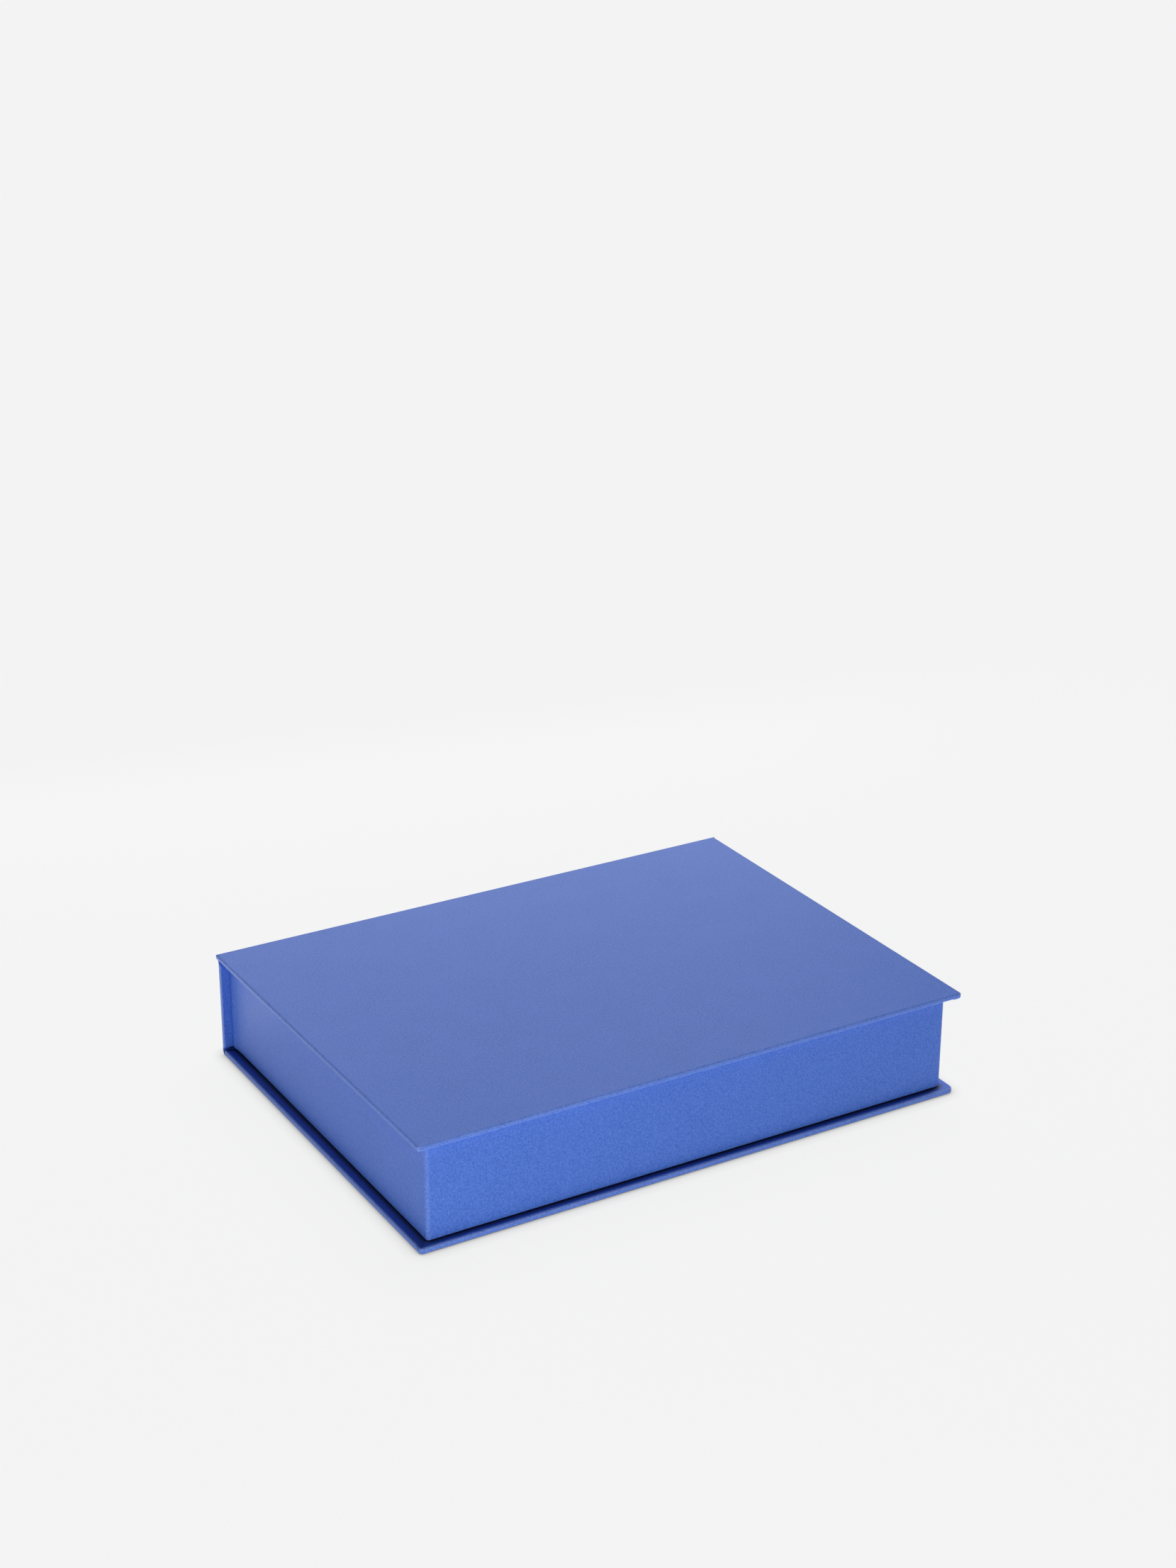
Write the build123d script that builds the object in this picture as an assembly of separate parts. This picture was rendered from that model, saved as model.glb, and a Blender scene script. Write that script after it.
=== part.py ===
"""Drop-spine archival box: two nested trays inside a hinged, cloth-covered case.

Closed, the box lies flat on its base board. Millimetres, +Z up, +X along the long fore-edge,
+Y from the fore-edge to the spine. The origin is the centre of the closed box's underside.
"""
from build123d import *
import os
from dataclasses import dataclass

# ---- closed box ----
WIDTH = 330.0           # along X
DEPTH = 246.0           # along Y, fore-edge to spine
HEIGHT = 61.5           # along Z

# ---- boards, cloth and lining ----
LID_BOARD = 2.5         # greyboard of the lid
BASE_BOARD = 2.5        # greyboard of the base
SPINE_BOARD = 2.2       # greyboard of the spine
TRAY_BOARD = 2.0        # greyboard of the tray walls and panels
CLOTH = 0.35            # covering of the case
TRAY_CLOTH = 0.3        # covering of the tray walls
LINING = 0.25           # paper on the tray floors, and the inner cloth of the joints
TURN_IN = 16.0          # cloth folded onto the inner side of a case board
BASE_END_INSET = 0.4    # base's ends, in from the lid's
BASE_FRONT_INSET = 1.0  # base's fore-edge, in from the lid's
LID_CORNER = 1.3        # plan radius of the lid's front corners, over the cloth
BASE_CORNER = 3.2       # plan radius of the base's front corners
ARRIS = 0.6             # softened long edges of the case, over the cloth
BOARD_EASE = 0.3        # softened arrises of the bare boards

# ---- how far the case stands out past the outer tray ----
SQUARE_END = 6.7        # at the two short ends
SQUARE_FRONT = 5.6      # at the fore-edge
RIM_TO_BASE = 4.0       # underside of the outer tray's rim, above the ground

# ---- fit of the trays ----
END_CLEARANCE = 1.0     # between the nested end walls
FRONT_CLEARANCE = 1.8   # between the nested front walls, for the lid's swing
RIM_CLEARANCE = 1.2     # inner tray's rim to the lining of the outer tray
WALL_EASE = 1.4         # outer vertical corners of the tray boards
OUTER_REAR_EASE = 4.0   # radius where the outer tray's rim meets the rear of its end walls
INNER_REAR_EASE = 0.8   # the same on the inner tray

# ---- spine and its two cloth joints ----
SPINE_INSET = 1.2       # spine's outer face, in from the lid's rear edge
SPINE_END_INSET = 0.6   # spine's ends, in from the ends of the case boards
SPINE_GAP = 2.8         # spine board's edges to the covered case boards
SPINE_CLEARANCE = 0.5   # rear ends of the tray walls to the spine's lining
FOOT_ROLL = 3.0         # radius of the cloth around the box's lower rear edge
ROLL_SPLIT = 3.0        # degrees each side of the fold, left open between the two bodies
BASE_BOARD_INSET = 2.6  # base board's rear edge, in from the spine's outer face
LID_LIP = 2.4           # cloth hanging behind the lid's rear edge, from the lid's outer face
LID_BOARD_INSET = 1.0   # lid board's rear edge, in from the outside of that lip
LID_JOINT = 3.5         # upper end of the spine's outer cloth, below the lid's outer face
LINING_START = 0.9      # edge of the base's joint lining, above the ground

FRONT = -DEPTH / 2
REAR = DEPTH / 2
HALF_WIDTH = WIDTH / 2
SPINE_OUTER = REAR - SPINE_INSET
SPINE_FACE = SPINE_OUTER - CLOTH
SPINE_INNER = SPINE_FACE - SPINE_BOARD
SPINE_HALF = HALF_WIDTH - SPINE_END_INSET
WALL_REAR = SPINE_INNER - LINING - SPINE_CLEARANCE
LINING_HALF = HALF_WIDTH - TURN_IN - 1.0
WALL = TRAY_BOARD + 2 * TRAY_CLOTH


@dataclass
class Side:
    """One half of the box. Heights on it run inward from the outer face of its case board."""
    name: str
    outer_z: float
    inward: float
    board: float
    half: float
    front: float
    corner: float
    board_rear: float
    tray_half: float
    tray_front: float
    rim: float
    rear_ease: float

    @property
    def case(self):
        """Thickness of the covered case board."""
        return self.board + 2 * CLOTH

    def z_range(self, low, high):
        """Two heights on this side as ordered Z values."""
        ends = (self.outer_z + self.inward * low, self.outer_z + self.inward * high)
        return min(ends), max(ends)


LID_TRAY_HALF = HALF_WIDTH - SQUARE_END
LID_TRAY_FRONT = FRONT + SQUARE_FRONT
LID_CASE = LID_BOARD + 2 * CLOTH
LID = Side(
    "lid",
    HEIGHT,
    -1.0,
    LID_BOARD,
    HALF_WIDTH,
    FRONT,
    LID_CORNER,
    REAR - LID_BOARD_INSET,
    LID_TRAY_HALF,
    LID_TRAY_FRONT,
    HEIGHT - RIM_TO_BASE,
    OUTER_REAR_EASE,
)
BASE = Side(
    "base",
    0.0,
    1.0,
    BASE_BOARD,
    HALF_WIDTH - BASE_END_INSET,
    FRONT + BASE_FRONT_INSET,
    BASE_CORNER,
    SPINE_OUTER - BASE_BOARD_INSET,
    LID_TRAY_HALF - WALL - END_CLEARANCE,
    LID_TRAY_FRONT + WALL + FRONT_CLEARANCE,
    HEIGHT - LID_CASE - TRAY_BOARD - LINING - RIM_CLEARANCE,
    INNER_REAR_EASE,
)


def block(x_range, y_range, z_range):
    """Box between two opposite corners."""
    size = [high - low for low, high in (x_range, y_range, z_range)]
    centre = [(high + low) / 2 for low, high in (x_range, y_range, z_range)]
    return Pos(*centre) * Box(*size)


def across(half):
    """X range centred on the box."""
    return (-half, half)


def ease_plan_corners(solid, radius):
    """Round the vertical edges at the fore-edge."""
    upright = solid.edges().filter_by(Axis.Z)
    return fillet([edge for edge in upright if edge.center().Y < 0], radius)


def ease_rear_rim(solid, side, radius):
    """Round the edge where the rear of a tray's end walls meets their rim."""
    rear = solid.edges().filter_by(Axis.X).group_by(Axis.Y)[-1].sort_by(Axis.Z)
    return fillet(rear[-1] if side.inward > 0 else rear[0], radius)


def ease_long_edges(solid, radius):
    """Round the arrises along the fore-edge and both ends, on both faces of a flat board."""
    rear = solid.bounding_box().max.Y
    flat = [edge for edge in solid.edges() if abs(edge.tangent_at(0.5).Z) < 0.01]
    return fillet([edge for edge in flat if edge.center().Y < rear - 0.01], radius)


def yz_prism(edges, half):
    """Closed outline in the YZ plane, extruded to both sides of it."""
    return extrude(make_face(edges), amount=half, dir=(1, 0, 0), both=True)


def foot_roll(start, stop):
    """Cloth turning around the lower rear edge, between two angles in degrees."""
    centre = Vector(0, SPINE_OUTER - FOOT_ROLL, FOOT_ROLL)
    middle = (start + stop) / 2

    def at(radius, angle):
        return centre + Vector(0, radius, 0).rotate(Axis.X, angle)

    inner = FOOT_ROLL - CLOTH
    outline = [
        ThreePointArc(at(FOOT_ROLL, start), at(FOOT_ROLL, middle), at(FOOT_ROLL, stop)),
        Line(at(FOOT_ROLL, stop), at(inner, stop)),
        ThreePointArc(at(inner, stop), at(inner, middle), at(inner, start)),
        Line(at(inner, start), at(FOOT_ROLL, start)),
    ]
    return yz_prism(outline, SPINE_HALF)


def base_joint_cloth():
    """Base's half of the lower joint: the sheet under the board, then the start of the roll."""
    sheet_depth = (BASE.board_rear - 1.0, SPINE_OUTER - FOOT_ROLL)
    sheet = block(across(SPINE_HALF), sheet_depth, (0, CLOTH))
    return sheet + foot_roll(-90, -45 - ROLL_SPLIT)


def lid_joint_cloth():
    """Lid's half of the upper joint: the lip over the board's rear edge."""
    sheet = block(across(SPINE_HALF), (LID.board_rear, REAR), (HEIGHT - CLOTH, HEIGHT))
    lip = block(across(SPINE_HALF), (REAR - CLOTH, REAR), (HEIGHT - LID_LIP, HEIGHT))
    lip += sheet
    upper = lip.edges().filter_by(Axis.X).group_by(Axis.Z)[-1]
    return fillet(upper.sort_by(Axis.Y)[-1], ARRIS)


def case_board(side):
    """Greyboard of the lid or the base."""
    height = side.z_range(CLOTH, CLOTH + side.board)
    board = block(across(side.half - CLOTH), (side.front + CLOTH, side.board_rear), height)
    board = ease_plan_corners(board, side.corner - CLOTH)
    return ease_long_edges(board, BOARD_EASE)


def case_cloth(side, board, joint):
    """Cloth on the outer face and edges of a case board, with its turn-ins and joint."""
    skin = block(across(side.half), (side.front, side.board_rear), side.z_range(0, side.case))
    skin = ease_plan_corners(skin, side.corner)
    skin = ease_long_edges(skin, ARRIS)
    window_height = side.z_range(CLOTH + side.board, side.case)
    window_depth = (side.front + TURN_IN, side.board_rear)
    window = block(across(side.half - TURN_IN), window_depth, window_height)
    return skin + joint - board - window


def tray_walls(side):
    """Front wall and two end walls of a tray, as bare boards."""
    height = side.z_range(side.case, side.rim - TRAY_CLOTH)
    outer = side.tray_half - TRAY_CLOTH
    inner = outer - TRAY_BOARD
    front = side.tray_front + TRAY_CLOTH
    rear = WALL_REAR - TRAY_CLOTH
    end_wall = block((inner, outer), (front, rear), height)
    end_wall = ease_rear_rim(end_wall, side, side.rear_ease)
    upright = end_wall.edges().filter_by(Axis.Z)
    corner = [edge for edge in upright if edge.center().Y < 0 and edge.center().X > inner + 0.01]
    right = fillet(corner, WALL_EASE)
    left = mirror(right, about=Plane.YZ)
    front_wall = block(across(inner), (front, front + TRAY_BOARD), height)
    return front_wall, left, right


def tray_panel(side):
    """Floor board of a tray, glued between its walls and to the case."""
    half = side.tray_half - TRAY_CLOTH - TRAY_BOARD
    front = side.tray_front + TRAY_CLOTH + TRAY_BOARD
    height = side.z_range(side.case, side.case + TRAY_BOARD)
    return block(across(half), (front, WALL_REAR - TRAY_CLOTH), height)


def tray_wall_cloth(side, boards):
    """Cloth around both faces, the rim and the rear ends of a tray's walls."""
    height = side.z_range(side.case, side.rim)
    outer = block(across(side.tray_half), (side.tray_front, WALL_REAR), height)
    outer = ease_plan_corners(outer, WALL_EASE + TRAY_CLOTH)
    outer = ease_rear_rim(outer, side, side.rear_ease + TRAY_CLOTH)
    hollow_depth = (side.tray_front + WALL, WALL_REAR)
    outer -= block(across(side.tray_half - WALL), hollow_depth, height)
    for board in boards:
        outer -= board
    return outer


def tray_lining(side):
    """Paper on the floor of a tray."""
    low = side.case + TRAY_BOARD
    depth = (side.tray_front + WALL, WALL_REAR - TRAY_CLOTH)
    return block(across(side.tray_half - WALL), depth, side.z_range(low, low + LINING))


def joint_lining(side):
    """Inner cloth from the tray floor down its rear edge and along the board's margin."""
    board_top = CLOTH + side.board
    edge = WALL_REAR - TRAY_CLOTH
    floor_top = side.case + TRAY_BOARD + LINING
    down = block(across(LINING_HALF), (edge, edge + LINING), side.z_range(board_top, floor_top))
    along_height = side.z_range(board_top, board_top + LINING)
    return down + block(across(LINING_HALF), (edge, side.board_rear), along_height)


def base_joint_lining():
    """The base's joint lining, which also folds down over the board's rear edge."""
    depth = (BASE.board_rear, BASE.board_rear + LINING)
    over = block(across(LINING_HALF), depth, (LINING_START, CLOTH + BASE_BOARD + LINING))
    return joint_lining(BASE) + over


SPINE_LOW = BASE.case + SPINE_GAP
SPINE_HIGH = HEIGHT - LID.case - SPINE_GAP


def spine_board():
    """Greyboard of the spine."""
    return block(across(SPINE_HALF - CLOTH), (SPINE_INNER, SPINE_FACE), (SPINE_LOW, SPINE_HIGH))


def spine_cloth(board):
    """Cloth on the spine's outer face and ends, running on to both joints."""
    inner_face = (SPINE_INNER - CLOTH, SPINE_INNER)
    skin = block(across(SPINE_HALF), (SPINE_INNER - CLOTH, SPINE_OUTER), (SPINE_LOW, SPINE_HIGH))
    window = block(across(SPINE_HALF - TURN_IN), inner_face, (SPINE_LOW, SPINE_HIGH))
    outer_height = (FOOT_ROLL, HEIGHT - LID_JOINT)
    outer = block(across(SPINE_HALF), (SPINE_FACE, SPINE_OUTER), outer_height)
    return skin - board - window + outer + foot_roll(-45 + ROLL_SPLIT, 0)


def spine_lining():
    """Inner cloth on the spine, between its turn-ins."""
    return block(across(LINING_HALF), (SPINE_INNER - LINING, SPINE_INNER), (SPINE_LOW, SPINE_HIGH))


def half_box(side, joint_cloth, joint_paper):
    """All the pieces of the base or the lid, by node name."""
    board = case_board(side)
    front_wall, left_wall, right_wall = tray_walls(side)
    panel = tray_panel(side)
    return {
        f"{side.name}_board": board,
        f"{side.name}_cloth": case_cloth(side, board, joint_cloth),
        f"{side.name}_tray_panel": panel,
        f"{side.name}_tray_front_wall": front_wall,
        f"{side.name}_tray_left_wall": left_wall,
        f"{side.name}_tray_right_wall": right_wall,
        f"{side.name}_tray_wall_cloth": tray_wall_cloth(
            side, (front_wall, left_wall, right_wall, panel)
        ),
        f"{side.name}_tray_lining": tray_lining(side),
        f"{side.name}_joint_lining": joint_paper,
    }


def spine():
    """All the pieces of the spine, by node name."""
    board = spine_board()
    return {
        "spine_board": board,
        "spine_cloth": spine_cloth(board),
        "spine_lining": spine_lining(),
    }


os.makedirs("parts", exist_ok=True)
base_half = half_box(BASE, base_joint_cloth(), base_joint_lining())
lid_half = half_box(LID, lid_joint_cloth(), joint_lining(LID))
for node, solid in {**base_half, **spine(), **lid_half}.items():
    export_step(solid, f"parts/{node}.step")
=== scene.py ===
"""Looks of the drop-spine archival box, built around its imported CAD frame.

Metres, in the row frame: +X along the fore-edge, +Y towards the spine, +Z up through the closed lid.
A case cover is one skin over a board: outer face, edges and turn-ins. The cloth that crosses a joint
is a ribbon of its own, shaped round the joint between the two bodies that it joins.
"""
import math
from dataclasses import dataclass

import bmesh
import bpy
from mathutils import Matrix, Vector


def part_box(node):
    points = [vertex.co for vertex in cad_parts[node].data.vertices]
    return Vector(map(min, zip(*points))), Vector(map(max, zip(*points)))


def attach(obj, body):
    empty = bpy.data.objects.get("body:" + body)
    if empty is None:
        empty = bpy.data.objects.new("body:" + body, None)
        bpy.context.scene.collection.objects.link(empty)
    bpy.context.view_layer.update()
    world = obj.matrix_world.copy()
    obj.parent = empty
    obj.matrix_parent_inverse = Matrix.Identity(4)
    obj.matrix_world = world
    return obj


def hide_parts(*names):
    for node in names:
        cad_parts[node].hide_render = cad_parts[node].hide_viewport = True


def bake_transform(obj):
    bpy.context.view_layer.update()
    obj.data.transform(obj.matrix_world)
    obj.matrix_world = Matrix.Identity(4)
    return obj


MM = 0.001

# ---- covering ----
CASE_CLOTH = 0.35 * MM
TRAY_CLOTH = 0.3 * MM
TURN_IN = 16.0 * MM
TURN_IN_STEP = 0.1 * MM     # its cut edge
TURN_IN_WEAR = 0.3
OUTER_ARRIS = 1.1 * MM      # softened edge of a case board's outer face
INNER_ARRIS = 1.3 * MM      # and of its inner face
SHOULDER = 0.4 * MM         # narrow flat beside a softened edge, where its shading stops
FACE_BORDER = 4.0 * MM      # where a case board's outer face meets its softened border
LID_CORNERS = (1.2 * MM, 1.2 * MM)      # plan radius of a case board's left and right front corner
BASE_CORNERS = (1.9 * MM, 3.6 * MM)
BAND_LOW_HIGHLIGHT_AND_WEAR = 0.25            # how pale a case board's edge is painted at its lowest, beside 1 at its top: painted highlight that fades towards the ground, with some rubbing
CORNER_LAP = 0.15 * MM      # step where the fore-edge turn-in lies over the end turn-in
FINE = 6.0 * MM             # length beside each corner that has a dense mesh, for its tucks

# ---- trays ----
WALL = 2.6 * MM             # covered tray wall
RIM_ARRIS = 0.4 * MM
WALL_END_ARRIS = 0.6 * MM
TRAY_CORNER = {"lid": 2.2 * MM, "base": 1.2 * MM}   # plan radius of a tray's front corners
CORNER_WEAR_AND_HIGHLIGHT = 0.6           # how pale a tray's upright corners are painted, beside 1 on an arris: some rubbing, and painted highlight
REAR_EASE = {"lid": 4.0 * MM, "base": 0.8 * MM}     # radius where the rim meets the walls' rear
POINT_DROP = 0.4 * MM       # the outer tray's left front corner hangs to a point at its rim
POINT_LENGTH = 3.0 * MM
RIM_SLACK = 0.15 * MM       # the tray coverings stand this much past the rims of their boards' cloth
GLUE_GROOVE = 0.25 * MM     # shadow line where a tray wall meets the case board
FOOT_CURVE = ((0.0, 0.6 * MM), (0.08 * MM, 0.25 * MM), (GLUE_GROOVE, 0.0))  # its (inset, height)
FLARE = 1.2 * MM            # outer tray's end walls spread this much where they meet the spine
FLARE_LENGTH = 6.0 * MM
PAINTED_SHADE_REACH = 4.0 * MM       # how far the painted shade under the outer tray's rim darkens the base's margin
PAPER_SHEET = 0.2 * MM
PAPER_GAP = 0.3 * MM        # tray floor paper to the tray walls
PAPER_LAP = 0.3 * MM        # and how far it reaches under the joint's inner cloth

# ---- joints ----
FOOT_ROLL = 3.0 * MM        # outer radius of the cloth around the lower rear edge
FOLDED = 0.6 * MM           # cloth doubled over on itself in a joint
LIP_ARRIS = 0.6 * MM        # softened edge where the lid's covering turns down behind it
LIP_BEND = 0.5 * MM
LIP_DROP = 2.2 * MM         # where that covering steps in to the spine, below the lid's outer face
SPINE_TOP = 3.5 * MM        # upper end of the spine's cover, below the lid's outer face
SPINE_END_INSET = 0.6 * MM
SPINE_BEND = 1.2 * MM       # where the spine's inner face slopes out to the joints
SPINE_END_ARRIS = 0.7 * MM
LINING = 0.2 * MM           # inner cloth of the joints
UPPER_LINING = 0.14 * MM    # and where it is pressed thin inside the lip
LINING_INSET = 3.5 * MM     # its ends, in from the ends of the case
LINING_ON_FLOOR = 1.6 * MM  # its edge, in from the tray floor's rear edge
LINING_END = 0.95 * MM      # its other edge, on the board's rear, above the board's outer face
LINING_BEND = 0.45 * MM
AIR = 0.02 * MM             # between cloths that lie on each other, so that they share no face

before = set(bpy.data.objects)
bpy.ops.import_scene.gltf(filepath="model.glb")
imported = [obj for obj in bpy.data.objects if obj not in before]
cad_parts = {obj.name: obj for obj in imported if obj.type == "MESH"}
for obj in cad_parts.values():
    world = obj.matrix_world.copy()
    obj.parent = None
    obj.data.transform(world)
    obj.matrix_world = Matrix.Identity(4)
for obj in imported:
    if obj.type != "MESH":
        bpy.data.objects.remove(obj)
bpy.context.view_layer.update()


# ---------------------------------------------------------------- meshes
def piece(name, vertices, faces, wear_and_painted_light=None):
    """A mesh object with its doubled points merged. Its colour mark is above 0 where the cloth is
    painted paler, for rubbing and for painted highlight, and below 0 in a slit darkened with painted
    shade."""
    mesh = bpy.data.meshes.new(name)
    mesh.from_pydata([tuple(v) for v in vertices], [], faces)
    attribute = mesh.attributes.new("wear_and_painted_light", "FLOAT", "POINT")
    attribute.data.foreach_set("value", wear_and_painted_light if wear_and_painted_light else [0.0] * len(vertices))
    shape = bmesh.new()
    shape.from_mesh(mesh)
    bmesh.ops.remove_doubles(shape, verts=shape.verts, dist=0.002 * MM)
    bmesh.ops.dissolve_degenerate(shape, edges=shape.edges, dist=0.001 * MM)
    bmesh.ops.recalc_face_normals(shape, faces=shape.faces)
    shape.to_mesh(mesh)
    shape.free()
    result = bpy.data.objects.new(name, mesh)
    bpy.context.scene.collection.objects.link(result)
    return result


def thicken(result, thickness):
    """Give a skin its thickness, inward from the surface it was drawn as."""
    solidify = result.modifiers.new("cloth", "SOLIDIFY")
    solidify.thickness = thickness
    solidify.offset = -1.0
    solidify.use_quality_normals = True
    depsgraph = bpy.context.evaluated_depsgraph_get()
    solid = bpy.data.meshes.new_from_object(result.evaluated_get(depsgraph))
    result.modifiers.clear()
    result.data = solid
    return result


def smooth(result, angle=38.0):
    """Smooth shading, with the edges sharper than angle kept crisp."""
    shape = bmesh.new()
    shape.from_mesh(result.data)
    for face in shape.faces:
        face.smooth = True
    for edge in shape.edges:
        edge.smooth = len(edge.link_faces) == 2 and edge.calc_face_angle() < math.radians(angle)
    shape.to_mesh(result.data)
    shape.free()
    return result


def spread(start, stop, count):
    """Evenly spaced values, both ends included."""
    return [start + (stop - start) * i / (count - 1) for i in range(count)]


def ease(value):
    """Smooth step from 0 to 1."""
    value = min(1.0, max(0.0, value))
    return value * value * (3 - 2 * value)


def quads(first_row, columns, rows):
    """Faces between rows of points that are numbered row by row."""
    return [
        (first_row + r * columns + c, first_row + r * columns + c + 1,
         first_row + (r + 1) * columns + c + 1, first_row + (r + 1) * columns + c)
        for r in range(rows - 1)
        for c in range(columns - 1)
    ]


def tube(columns, rings):
    """Faces between closed rings of points that are numbered ring by ring."""
    return [
        (r * columns + c, r * columns + (c + 1) % columns,
         (r + 1) * columns + (c + 1) % columns, (r + 1) * columns + c)
        for r in range(rings - 1)
        for c in range(columns)
    ]


# ---------------------------------------------------------------- one half of the box
@dataclass
class Side:
    """The base or the lid. Heights run inward from the outer face of its case board."""
    name: str
    outer_z: float
    inward: float
    half: float
    front: float
    cover_rear: float
    board_rear: float
    case: float
    corners: tuple
    tray_half: float
    tray_front: float
    tray_corners: tuple
    wall_rear: float
    rim: float
    floor: float

    def z(self, height):
        return self.outer_z + self.inward * height


lid_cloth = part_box("lid_cloth")
base_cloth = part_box("base_cloth")
spine_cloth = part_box("spine_cloth")
spine_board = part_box("spine_board")
SPINE_OUTER = spine_cloth[1].y
LID_REAR = lid_cloth[1].y


def side_of(name, outer_z, inward, cover_rear, corners):
    cloth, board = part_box(f"{name}_cloth"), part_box(f"{name}_board")
    walls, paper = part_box(f"{name}_tray_wall_cloth"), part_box(f"{name}_tray_lining")
    rim_z, floor_z = (walls[1].z, paper[1].z) if inward > 0 else (walls[0].z, paper[0].z)
    return Side(
        name=name,
        outer_z=outer_z,
        inward=inward,
        half=cloth[1].x,
        front=cloth[0].y,
        cover_rear=cover_rear,
        board_rear=board[1].y,
        case=cloth[1].z - cloth[0].z,
        corners=corners,
        tray_half=walls[1].x,
        tray_front=walls[0].y,
        tray_corners=(TRAY_CORNER[name], TRAY_CORNER[name]),
        wall_rear=walls[1].y,
        rim=(rim_z - outer_z) * inward + RIM_SLACK,
        floor=(floor_z - outer_z) * inward,
    )


LID = side_of("lid", lid_cloth[1].z, -1.0, LID_REAR - LIP_ARRIS, LID_CORNERS)
BASE = side_of("base", base_cloth[0].z, 1.0, SPINE_OUTER - FOOT_ROLL, BASE_CORNERS)


def u_path(half, front, rear, corners, fine=0.0, rear_fine=0.0):
    """Stations from the left end's rear, round the two front corners, to the right end's rear."""
    steps = spread(0.0, fine, 25)[:-1] if fine else []
    beside = []
    for corner in corners:
        along_end = [front + corner + step for step in steps]
        along_end += spread(front + corner + fine, rear - rear_fine, 22)
        if rear_fine:
            turns = spread(0.0, math.pi / 2, 13)[1:]
            along_end += [rear - rear_fine * math.cos(angle) for angle in turns]
        beside.append(along_end)
    left, right = corners
    along = [left - half + step for step in steps]
    along += spread(left + fine - half, half - right - fine, 34)
    along += [half - right - step for step in reversed(steps)]
    angles = spread(0.0, math.pi / 2, 9)
    stations = [("left", y) for y in reversed(beside[0])]
    stations += [("left_corner", angle) for angle in angles[1:-1]]
    stations += [("front", x) for x in along]
    stations += [("right_corner", angle) for angle in angles[1:-1]]
    return stations + [("right", y) for y in beside[1]]


def plan(station, inset, half, front, corners):
    """Where a station is once its path has moved in by inset, with mitred corners."""
    kind, value = station
    corner = corners[0] if kind == "left_corner" else corners[1]
    if kind == "left":
        return -half + inset, max(value, front + inset)
    if kind == "right":
        return half - inset, max(value, front + inset)
    if kind == "front":
        return min(max(value, -half + inset), half - inset), front + inset
    centre, radius = max(corner, inset), max(corner - inset, 0.0)
    if kind == "left_corner":
        x = -half + centre - radius * math.cos(value)
        return x, front + centre - radius * math.sin(value)
    x = half - centre + radius * math.sin(value)
    return x, front + centre - radius * math.cos(value)


def from_corner(side, station):
    """Distance from the nearer front corner: positive along the fore-edge, negative along an end."""
    kind, value = station
    if kind in ("left", "right"):
        return -(value - side.front)
    if kind == "front":
        return side.half - abs(value)
    return 0.0


# ---------------------------------------------------------------- case covers
# Each tuck is a fold's slit on a board's edge: (distance from the corner, height) at its two ends,
# then its half width and depth.
TUCKS = {
    "lid": ((0.9 * MM, 0.8 * MM), (0.9 * MM, 3.2 * MM), 0.35 * MM, 0.08 * MM),
    "base": ((-4.2 * MM, 2.95 * MM), (-2.0 * MM, 2.2 * MM), 0.45 * MM, 0.08 * MM),
}
EDGE_RUB_AND_HIGHLIGHT = {"lid": (1.0, 1.0), "base": (0.0, 2.0)}  # how pale each board's outer and inner arris is painted: some rubbing, and painted highlight
DROOP = 0.45 * MM           # folded layers under the lid's front right corner
DROOP_LENGTH = 4.2 * MM
DROOP_FADE = 1.2 * MM


def tuck_at(side, distance, height):
    """How deep a point is in its corner's slit, and its colour mark there: paler beside the slit, and
    below 0 inside it, where painted shade darkens the slit.
    """
    (x0, h0), (x1, h1), width, depth = TUCKS[side.name]
    along = Vector((x1 - x0, h1 - h0))
    to_point = Vector((distance - x0, height - h0))
    share = min(1.0, max(0.0, to_point.dot(along) / along.length_squared))
    gap = (to_point - along * share).length / width
    inside = math.exp(-gap * gap)
    return depth * inside, 0.8 * math.exp(-((gap - 2.2) ** 2)) - 1.8 * inside


def band_highlight_and_wear(side, height):
    """How pale the edge of a case board is painted: palest where it is highest above the ground, as
    painted highlight with some rubbing, and darker low down as painted shade near the floor.
    """
    share = height / side.case
    return BAND_LOW_HIGHLIGHT_AND_WEAR + (1 - BAND_LOW_HIGHLIGHT_AND_WEAR) * (share if side.inward > 0 else 1 - share) ** 1.5


def droop_at(side, station):
    """How far the folded layers hang down at a station, under the lid's right front corner."""
    kind, value = station
    beside = kind == "right_corner" or (kind == "front" and value > 0)
    if side.name != "lid" or not beside:
        return 0.0
    return DROOP * ease((DROOP_LENGTH - from_corner(side, station)) / DROOP_FADE + 1)


def on_fore_edge(station):
    """Whether a station is on the fore-edge, or on the half of a corner beside it."""
    kind, value = station
    if kind == "left_corner":
        return value > math.pi / 4
    if kind == "right_corner":
        return value <= math.pi / 4
    return kind == "front"


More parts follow.
